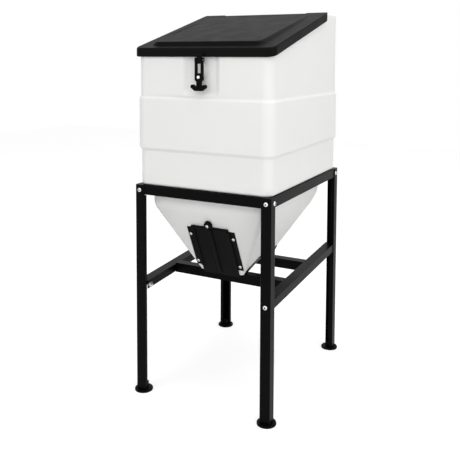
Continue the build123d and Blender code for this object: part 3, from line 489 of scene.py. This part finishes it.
def at_places(tree, given, result, shape):
    """Puts the shape at every given point, turned to that point's facing, as one real mesh."""
    facing = add(tree, "GeometryNodeInputNamedAttribute", {"Name": "facing"}, data_type="FLOAT_VECTOR")
    turn = add(tree, "FunctionNodeAlignRotationToVector", {"Vector": facing.outputs[0]}, axis="Z")
    spots = add(
        tree,
        "GeometryNodeInstanceOnPoints",
        {"Points": given["Geometry"], "Instance": shape, "Rotation": turn.outputs[0]},
    )
    real = add(tree, "GeometryNodeRealizeInstances", {"Geometry": spots.outputs[0]})
    smooth = add(tree, "GeometryNodeSetShadeSmooth", {"Geometry": real.outputs[0]})
    finished = {"Geometry": smooth.outputs[0], "Material": given["Finish"]}
    done = add(tree, "GeometryNodeSetMaterial", finished)
    tree.links.new(done.outputs[0], result.inputs[0])


# Shares of a bolt's socket, head and shank, and of a nut's height and corner radius
SOCKET_RIM_SHARE = 1.18
HEAD_SIDE_SHARE = 0.22
SOCKET_DEPTH_SHARE = 0.6
SHANK_BEVEL_SHARE = 0.2
NUT_SIDE_SHARE = 0.4
NUT_RIM_SHARE = 0.9


def bolt_tree():
    """A button-head bolt with a hexagonal socket: the head above z = 0, the shank below."""
    tree, given, result = new_tree(
        "Button-head bolt",
        [
            ("Head radius", NUMBER, 0.0087),
            ("Head height", NUMBER, 0.005),
            ("Socket radius", NUMBER, 0.0033),
            ("Shank radius", NUMBER, 0.004),
            ("Shank length", NUMBER, 0.012),
            ("Finish", "NodeSocketMaterial", None),
        ],
    )
    head = given["Head radius"]
    top = given["Head height"]
    socket_radius = given["Socket radius"]
    rim = math_node(tree, "MULTIPLY", socket_radius, SOCKET_RIM_SHARE)
    rim_side = math_node(tree, "MULTIPLY", top, HEAD_SIDE_SHARE)
    side = turned(tree, head, 0.0, head, rim_side, 0.0, steps=1)
    dome = turned(tree, head, rim_side, rim, top, 1.0)
    loops = []
    for sides, radius in ((ROUND_SIDES, rim), (HEX_SIDES, socket_radius)):
        size = {"Resolution": sides, "Radius": radius}
        loops.append(add(tree, "GeometryNodeCurvePrimitiveCircle", size).outputs[0])
    edges = tree.nodes.new("GeometryNodeJoinGeometry")
    for loop in reversed(loops):
        tree.links.new(loop, edges.inputs[0])
    face = moved(tree, add(tree, "GeometryNodeFillCurve", {"Curve": edges.outputs[0]}).outputs[0], top)
    mouth = disc(tree, socket_radius, top, HEX_SIDES)
    depth = math_node(tree, "MULTIPLY", top, -SOCKET_DEPTH_SHARE)
    well = add(tree, "GeometryNodeExtrudeMesh", {"Mesh": mouth, "Offset Scale": depth}).outputs[0]
    # Marks the socket well with Y = 1 in UVMap, where the zinc material paints shade.
    marked = {"Geometry": well, "Name": "UVMap", "Value": (0.0, 1.0, 0.0)}
    well = add(
        tree, "GeometryNodeStoreNamedAttribute", marked, data_type="FLOAT2", domain="CORNER"
    ).outputs[0]
    under = disc(tree, head, 0.0, ROUND_SIDES, down=True)
    shank = given["Shank radius"]
    tip = math_node(tree, "MULTIPLY", given["Shank length"], -1.0)
    bevel = math_node(tree, "MULTIPLY", shank, SHANK_BEVEL_SHARE)
    tip_side = math_node(tree, "ADD", tip, bevel)
    tip_radius = math_node(tree, "SUBTRACT", shank, bevel)
    rod = turned(tree, shank, tip_side, shank, 0.0, 0.0, steps=1)
    nose = turned(tree, tip_radius, tip, shank, tip_side, 0.0, steps=1)
    shape = joined(tree, side, dome, face, well, under)
    end = disc(tree, tip_radius, tip, ROUND_SIDES, down=True)
    stem = joined(tree, rod, nose, end, disc(tree, shank, 0.0, ROUND_SIDES))
    whole = tree.nodes.new("GeometryNodeJoinGeometry")
    tree.links.new(stem, whole.inputs[0])
    tree.links.new(shape, whole.inputs[0])
    at_places(tree, given, result, whole.outputs[0])
    return tree


def nut_tree():
    """A hexagonal nut with both rims turned down, centred on z = 0."""
    tree, given, result = new_tree(
        "Hexagonal nut",
        [
            ("Corner radius", NUMBER, 0.0075),
            ("Height", NUMBER, 0.0065),
            ("Hole radius", NUMBER, 0.004),
            ("Finish", "NodeSocketMaterial", None),
        ],
    )
    corner = given["Corner radius"]
    high = math_node(tree, "MULTIPLY", given["Height"], 0.5)
    low = math_node(tree, "MULTIPLY", given["Height"], -0.5)
    high_side = math_node(tree, "MULTIPLY", given["Height"], NUT_SIDE_SHARE)
    low_side = math_node(tree, "MULTIPLY", given["Height"], -NUT_SIDE_SHARE)
    rim = math_node(tree, "MULTIPLY", corner, NUT_RIM_SHARE)
    hole = given["Hole radius"]
    shape = joined(
        tree,
        turned(tree, corner, low_side, corner, high_side, 0.0, sides=HEX_SIDES, steps=1),
        turned(tree, corner, high_side, rim, high, 0.0, sides=HEX_SIDES, steps=1),
        turned(tree, rim, high, hole, high, 0.0, sides=HEX_SIDES, steps=1),
        turned(tree, hole, high, hole, low, 0.0, sides=HEX_SIDES, steps=1),
        turned(tree, hole, low, rim, low, 0.0, sides=HEX_SIDES, steps=1),
        turned(tree, rim, low, corner, low_side, 0.0, sides=HEX_SIDES, steps=1),
    )
    at_places(tree, given, result, shape)
    return tree


def islands(node):
    """The node's separate solids, each as a list of its points, in the order of the node's mesh."""
    work = bmesh.new()
    work.from_mesh(NODES[node].data)
    bmesh.ops.remove_doubles(work, verts=work.verts, dist=WELD)
    left = set(work.verts)
    found = []
    for start in work.verts:
        if start not in left:
            continue
        left.remove(start)
        todo = [start]
        part = []
        while todo:
            point = todo.pop()
            part.append(point.co.copy())
            near = {edge.other_vert(point) for edge in point.link_edges} & left
            left -= near
            todo += near
        found.append(part)
    work.free()
    return found


def measured_along(points, axis):
    """Reads a turned solid along an axis: its middle, and each point's reach and height."""
    turn = axis.rotation_difference(UPRIGHT)
    local = [turn @ point for point in points]
    x = (min(p.x for p in local) + max(p.x for p in local)) / 2
    y = (min(p.y for p in local) + max(p.y for p in local)) / 2
    rows = [(math.hypot(p.x - x, p.y - y), p.z) for p in local]
    return axis, turn.inverted(), x, y, rows


def measure(points):
    """Reads a turned solid along its own axis, the one that it is slimmest about."""
    tries = [measured_along(points, axis) for axis in AXES]
    return min(tries, key=lambda found: max(reach for reach, height in found[-1]))


HEAD_EDGE_SHARE = 0.97
SOCKET_SHARE = 0.4


def read_bolts(node):
    """Places and directions of a node's bolts, from the frame, and their size, which they share."""
    places = []
    facings = []
    for points in islands(node):
        axis, back, x, y, rows = measure(points)
        head = max(reach for reach, height in rows)
        seat = [height for reach, height in rows if reach > HEAD_EDGE_SHARE * head]
        low = min(height for reach, height in rows)
        high = max(height for reach, height in rows)
        up = high - max(seat) < min(seat) - low
        base = min(seat) if up else max(seat)
        places.append(back @ Vector((x, y, base)))
        facings.append(axis if up else -axis)
        far = low if up else high
        shank = max(reach for reach, height in rows if abs(height - far) < WELD)
        sizes = {
            "Head radius": head,
            "Head height": (high - base) if up else (base - low),
            "Socket radius": SOCKET_SHARE * head,
            "Shank radius": shank,
            "Shank length": abs(base - far),
        }
    return places, facings, sizes


def read_nuts(node):
    """Places and directions of a node's nuts, from the frame, and their size, which they share."""
    places = []
    facings = []
    for points in islands(node):
        axis, back, x, y, rows = measure(points)
        low = min(height for reach, height in rows)
        high = max(height for reach, height in rows)
        places.append(back @ Vector((x, y, (low + high) / 2)))
        facings.append(axis)
        reaches = [reach for reach, height in rows]
        sizes = {"Corner radius": max(reaches), "Height": high - low, "Hole radius": min(reaches)}
    return places, facings, sizes


def scatter(name, tree, places, facings, sizes, node, slot_name):
    """Runs a tree on a set of places and turns the result into a plain mesh."""
    mesh = bpy.data.meshes.new(name)
    mesh.from_pydata(places, [], [])
    facing = mesh.attributes.new("facing", "FLOAT_VECTOR", "POINT")
    facing.data.foreach_set("vector", [value for vector in facings for value in vector])
    piece = new_object(name, mesh)
    modifier = piece.modifiers.new(tree.name, "NODES")
    modifier.node_group = tree
    values = {**sizes, "Finish": material(slot_name)}
    for item in tree.interface.items_tree:
        if item.in_out == "INPUT" and item.name in values:
            modifier[item.identifier] = values[item.name]
    bake_modifiers(piece)
    shade(piece.data, FASTENER_CREASE)
    return settle(piece, [node], slot_name)


# Settings that a user would change
class FeedBinFinish(bpy.types.PropertyGroup):
    bin_colour: bpy.props.FloatVectorProperty(
        name="Bin colour",
        description="Base colour of the moulded bin",
        subtype="COLOR", size=3, min=0.0, max=1.0,
        default=(0.83, 0.83, 0.82),
    )
    lid_colour: bpy.props.FloatVectorProperty(
        name="Lid colour",
        description="Base colour of the moulded lid",
        subtype="COLOR", size=3, min=0.0, max=1.0,
        default=(0.0028, 0.0028, 0.0031),
    )
    steel_colour: bpy.props.FloatVectorProperty(
        name="Steel colour",
        description="Base colour of the coated steel",
        subtype="COLOR", size=3, min=0.0, max=1.0,
        default=(0.002, 0.0019, 0.0019),
    )


class FeedBinSizes(bpy.types.PropertyGroup):
    steel_round: bpy.props.FloatProperty(
        name="Steel edge",
        description="Rounding of the sheet steel's edges in millimetres",
        default=0.5, min=0.1, max=1.2,
    )
    bin_round: bpy.props.FloatProperty(
        name="Bin edge",
        description="Rounding of the moulded bin's small edges in millimetres",
        default=1.4, min=0.2, max=2.4,
    )
    ledge_round: bpy.props.FloatProperty(
        name="Bin ledge",
        description="Rounding of the ledges round the bin in millimetres",
        default=3.6, min=0.5, max=4.5,
    )
    hopper_round: bpy.props.FloatProperty(
        name="Hopper break",
        description="Rounding where the hopper turns inwards, in millimetres",
        default=14.0, min=1.0, max=16.0,
    )
    lid_round: bpy.props.FloatProperty(
        name="Lid edge",
        description="Rounding of the moulded lid's edges in millimetres",
        default=1.6, min=0.2, max=1.9,
    )
    panel_round: bpy.props.FloatProperty(
        name="Lid panel",
        description="Rounding round the lid's raised panel in millimetres",
        default=3.0, min=0.5, max=5.0,
    )
    rim_round: bpy.props.FloatProperty(
        name="Lid rim",
        description="Rounding of the top of the lid's skirt in millimetres",
        default=6.0, min=0.5, max=7.0,
    )
    latch_round: bpy.props.FloatProperty(
        name="Latch edge",
        description="Rounding of the rubber latch's edges in millimetres",
        default=1.6, min=0.2, max=2.0,
    )


class FEEDBIN_OT_stand(bpy.types.Operator):
    """The legs, the top rails, the lower rails, the cross rails and the hopper saddle"""

    bl_idname = "feedbin.stand"
    bl_label = "Stand"

    def execute(self, context):
        width = context.scene.feed_bin_sizes.steel_round
        names = [f"leg_{end}_{side}" for end in ENDS for side in SIDES]
        names += [f"top_rail_{place}" for place in ENDS + SIDES]
        names += [f"lower_rail_{side}" for side in SIDES]
        names += [f"cross_rail_{end}" for end in ENDS]
        names.append("hopper_saddle")
        for name in names:
            soft_piece(name, f"{name}_steel", width)
        return {"FINISHED"}


class FEEDBIN_OT_feet(bpy.types.Operator):
    """The round pads under the legs"""

    bl_idname = "feedbin.feet"
    bl_label = "Feet"

    def execute(self, context):
        for end in ENDS:
            for side in SIDES:
                coat_node(f"foot_{end}_{side}")
        return {"FINISHED"}


# Where the bin's and the hopper's rounder edges are, in metres
LEVEL_SLOPE = 0.3
BIN_SIDE = 0.215
BIN_END = 0.28
BAND_LEDGES = (0.789, 0.958)
LEDGE_REACH = 0.012
RECESS_HALF = 0.066
RECESS_LOW = 0.955
RECESS_FRONT = -0.27
HOPPER_BREAKS = (0.55, 0.62)


def is_level(a, b):
    """Whether the edge between two points runs about level."""
    return abs(a.z - b.z) < LEVEL_SLOPE * (a - b).length


def bin_edge_radius(a, b):
    """The bin's ledges and the edges of its latch recess are rounder than its other edges."""
    sizes = bpy.context.scene.feed_bin_sizes
    middle = (a + b) / 2
    outside = abs(middle.x) > BIN_SIDE or abs(middle.y) > BIN_END
    if is_level(a, b) and outside and any(abs(middle.z - ledge) < LEDGE_REACH for ledge in BAND_LEDGES):
        return sizes.ledge_round * MM
    if abs(middle.x) < RECESS_HALF and middle.y < RECESS_FRONT and middle.z > RECESS_LOW:
        return sizes.ledge_round * MM
    return 0.0


def hopper_edge_radius(a, b):
    """The hopper turns inwards below its collar with a wide round."""
    middle = (a + b) / 2
    if is_level(a, b) and HOPPER_BREAKS[0] < middle.z < HOPPER_BREAKS[1]:
        return bpy.context.scene.feed_bin_sizes.hopper_round * MM
    return 0.0


class FEEDBIN_OT_bin(bpy.types.Operator):
    """The moulded bin and the hopper under it"""

    bl_idname = "feedbin.bin"
    bl_label = "Bin and hopper"

    def execute(self, context):
        width = context.scene.feed_bin_sizes.bin_round
        soft_piece("bin_body", "bin_shell", width, FINE_SEGMENTS, BIN_CREASE, bin_edge_radius)
        soft_piece("hopper", "hopper_shell", width, FINE_SEGMENTS, BIN_CREASE, hopper_edge_radius)
        return {"FINISHED"}


# The lid's top at its front edge, how it climbs, and where its rounder edges end
LID_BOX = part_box("lid")
LID_SLOPE = 0.2735
LID_FRONT_Y = -0.303
LID_FRONT_TOP = 1.1081
RIM_REACH = 0.009
PANEL_BACK = 0.13


def lid_edge_radius(a, b):
    """The rim of the lid and the edges of its raised panel are rounder than its other edges."""
    sizes = bpy.context.scene.feed_bin_sizes
    middle = (a + b) / 2
    low, high = LID_BOX
    rise = middle.z - LID_FRONT_TOP - LID_SLOPE * (middle.y - LID_FRONT_Y)
    if middle.y > PANEL_BACK or rise < -MM:
        return 0.0
    outside = min(middle.x - low.x, high.x - middle.x, middle.y - LID_FRONT_Y) < RIM_REACH
    return (sizes.rim_round if outside else sizes.panel_round) * MM


class FEEDBIN_OT_lid(bpy.types.Operator):
    """The moulded lid and its hinge pins"""

    bl_idname = "feedbin.lid"
    bl_label = "Lid"

    def execute(self, context):
        width = context.scene.feed_bin_sizes.lid_round
        soft_piece("lid", "lid_shell", width, FINE_SEGMENTS, radius_at=lid_edge_radius)
        for side in SIDES:
            coat_node(f"hinge_pin_{side}")
        return {"FINISHED"}


class FEEDBIN_OT_gate(bpy.types.Operator):
    """The sliding gate with its guides and knob"""

    bl_idname = "feedbin.gate"
    bl_label = "Gate"

    def execute(self, context):
        width = context.scene.feed_bin_sizes.steel_round
        soft_piece("gate_plate", "gate_sheet", width)
        for side in SIDES:
            soft_piece(f"gate_guide_{side}", f"gate_guide_{side}_strip", width)
        coat_node("gate_knob")
        return {"FINISHED"}


class FEEDBIN_OT_latch(bpy.types.Operator):
    """The rubber latch, its pin, its cap and the stud that it snaps on"""

    bl_idname = "feedbin.latch"
    bl_label = "Latch"

    def execute(self, context):
        width = context.scene.feed_bin_sizes.latch_round
        soft_piece("latch_strap", "latch_rubber_strap", width, FINE_SEGMENTS)
        for name in ("latch_pin", "latch_stud_cap", "latch_keeper_stud"):
            coat_node(name)
        return {"FINISHED"}


class FEEDBIN_OT_fasteners(bpy.types.Operator):
    """The bolts, screws and nuts of the stand, the saddle and the gate"""

    bl_idname = "feedbin.fasteners"
    bl_label = "Fasteners"

    def execute(self, context):
        bolts = bolt_tree()
        nuts = nut_tree()
        for node in NODES:
            if node.endswith(("_bolts", "_screws", "_screw")):
                scatter(f"{node}_set", bolts, *read_bolts(node), node, "zinc_steel")
            elif node.endswith(("_nuts", "_nut")):
                scatter(f"{node}_set", nuts, *read_nuts(node), node, "zinc_steel")
        return {"FINISHED"}


# Stage
CAMERA_PLACE = (0.9641, -1.9780, 1.0800)
CAMERA_YAW = 27.25
CAMERA_PITCH = 4.11
CAMERA_ROLL = 0.21
CAMERA_LENS = 50.70
CAMERA_SHIFT_UP = -0.274
CAMERA_SENSOR = 36.0


class FEEDBIN_OT_stage(bpy.types.Operator):
    """The floor, the lamps, the world and the camera"""

    bl_idname = "feedbin.stage"
    bl_label = "Stage"

    def execute(self, context):
        make_floor()
        make_world()
        make_lamps()
        make_camera()
        context.scene.view_settings.view_transform = "Standard"
        return {"FINISHED"}


FLOOR_HALF = 6.0
FLOOR_TONE = 0.66
FLOOR_GLOW = 0.5
FLOOR_ROUGHNESS = 0.8
SURROUND_UP = (0.25, -0.25, 0.8)
SURROUND_FROM = (-0.6, 0.9)
SURROUND_LIGHT = (0.45, 0.8)
LAMP_AIM = (0.0, 0.0, 0.75)
# Name, place, size in metres and power in watts
LAMPS = (
    ("key", (-0.7, -3.0, 2.1), 3.0, 30.0),
    ("fill", (2.7, -1.3, 1.7), 2.6, 33.0),
    ("top", (0.3, 0.1, 3.2), 2.0, 26.0),
)


def seen_directly(tree):
    """1 for camera rays, glossy rays and rays through glass, 0 for all others."""
    path = add(tree, "ShaderNodeLightPath").outputs
    mirrored = math_node(tree, "MAXIMUM", path["Is Camera Ray"], path["Is Glossy Ray"])
    return math_node(tree, "MAXIMUM", mirrored, path["Is Transmission Ray"])


def make_floor():
    """A plain pale floor that keeps the object's shadow."""
    mesh = bpy.data.meshes.new("floor")
    corners = [(x, y, 0.0) for x, y in ((-1, -1), (1, -1), (1, 1), (-1, 1))]
    mesh.from_pydata([FLOOR_HALF * Vector(corner) for corner in corners], [], [(0, 1, 2, 3)])
    floor = new_object("floor", mesh)
    finish = bpy.data.materials.new("pale floor")
    finish.use_nodes = True
    tree = finish.node_tree
    tree.nodes.clear()
    glow = math_node(tree, "MULTIPLY", seen_directly(tree), FLOOR_GLOW)
    shader = add(
        tree,
        "ShaderNodeBsdfPrincipled",
        {
            "Base Color": (*grey(FLOOR_TONE), 1.0),
            "Roughness": FLOOR_ROUGHNESS,
            "Specular IOR Level": 0.0,
            "Emission Color": (1, 1, 1, 1),
            "Emission Strength": glow,
        },
    )
    add(tree, "ShaderNodeOutputMaterial", {"Surface": shader.outputs[0]})
    mesh.materials.append(finish)


def make_world():
    """A pale surround: white where it is seen, softer as light and darker from low down."""
    world = bpy.data.worlds.new("studio")
    bpy.context.scene.world = world
    world.use_nodes = True
    tree = world.node_tree
    tree.nodes.clear()
    place = add(tree, "ShaderNodeTexCoord").outputs["Generated"]
    towards = add(tree, "ShaderNodeVectorMath", {0: place, 1: SURROUND_UP}, operation="DOT_PRODUCT")
    level = add(
        tree,
        "ShaderNodeMapRange",
        {
            "Value": towards.outputs["Value"],
            "From Min": SURROUND_FROM[0],
            "From Max": SURROUND_FROM[1],
            "To Min": SURROUND_LIGHT[0],
            "To Max": SURROUND_LIGHT[1],
        },
    ).outputs[0]
    strength = mixed(tree, seen_directly(tree), level, 1.0)
    back = add(tree, "ShaderNodeBackground", {"Color": (1, 1, 1, 1), "Strength": strength})
    add(tree, "ShaderNodeOutputWorld", {"Surface": back.outputs[0]})


def make_lamp(name, place, size, power):
    """A soft square lamp that points at the object."""
    data = bpy.data.lights.new(name, "AREA")
    data.shape = "SQUARE"
    data.size = size
    data.energy = power
    lamp = new_object(name, data)
    lamp.location = place
    lamp.rotation_euler = (Vector(LAMP_AIM) - Vector(place)).to_track_quat("-Z", "Y").to_euler()


def make_lamps():
    for lamp in LAMPS:
        make_lamp(*lamp)


def make_camera():
    data = bpy.data.cameras.new("camera")
    camera = new_object("camera", data)
    data.sensor_width = CAMERA_SENSOR
    data.lens = CAMERA_LENS
    data.shift_y = CAMERA_SHIFT_UP
    camera.location = CAMERA_PLACE
    turn = Matrix.Rotation(math.radians(CAMERA_YAW), 4, "Z")
    tilt = Matrix.Rotation(math.radians(90.0 - CAMERA_PITCH), 4, "X")
    roll = Matrix.Rotation(math.radians(CAMERA_ROLL), 4, "Z")
    camera.rotation_euler = (turn @ tilt @ roll).to_euler()
    bpy.context.scene.camera = camera


STEPS = ("stand", "feet", "bin", "lid", "gate", "latch", "fasteners", "stage")


class FEEDBIN_PT_panel(bpy.types.Panel):
    bl_label = "Feed bin"
    bl_idname = "FEEDBIN_PT_panel"
    bl_space_type = "VIEW_3D"
    bl_region_type = "UI"
    bl_category = "Feed bin"

    def draw(self, context):
        for group in (context.scene.feed_bin_finish, context.scene.feed_bin_sizes):
            for key in group.bl_rna.properties.keys():
                if key not in ("rna_type", "name"):
                    self.layout.prop(group, key)
        for step in STEPS:
            self.layout.operator(f"feedbin.{step}")


CLASSES = (
    FeedBinFinish,
    FeedBinSizes,
    FEEDBIN_OT_stand,
    FEEDBIN_OT_feet,
    FEEDBIN_OT_bin,
    FEEDBIN_OT_lid,
    FEEDBIN_OT_gate,
    FEEDBIN_OT_latch,
    FEEDBIN_OT_fasteners,
    FEEDBIN_OT_stage,
    FEEDBIN_PT_panel,
)


def register():
    for item in CLASSES:
        bpy.utils.register_class(item)
    bpy.types.Scene.feed_bin_finish = bpy.props.PointerProperty(type=FeedBinFinish)
    bpy.types.Scene.feed_bin_sizes = bpy.props.PointerProperty(type=FeedBinSizes)


def unregister():
    del bpy.types.Scene.feed_bin_sizes
    del bpy.types.Scene.feed_bin_finish
    for item in reversed(CLASSES):
        bpy.utils.unregister_class(item)


def main():
    register()
    for step in STEPS:
        getattr(bpy.ops.feedbin, step)()


if __name__ == "__main__":
    main()
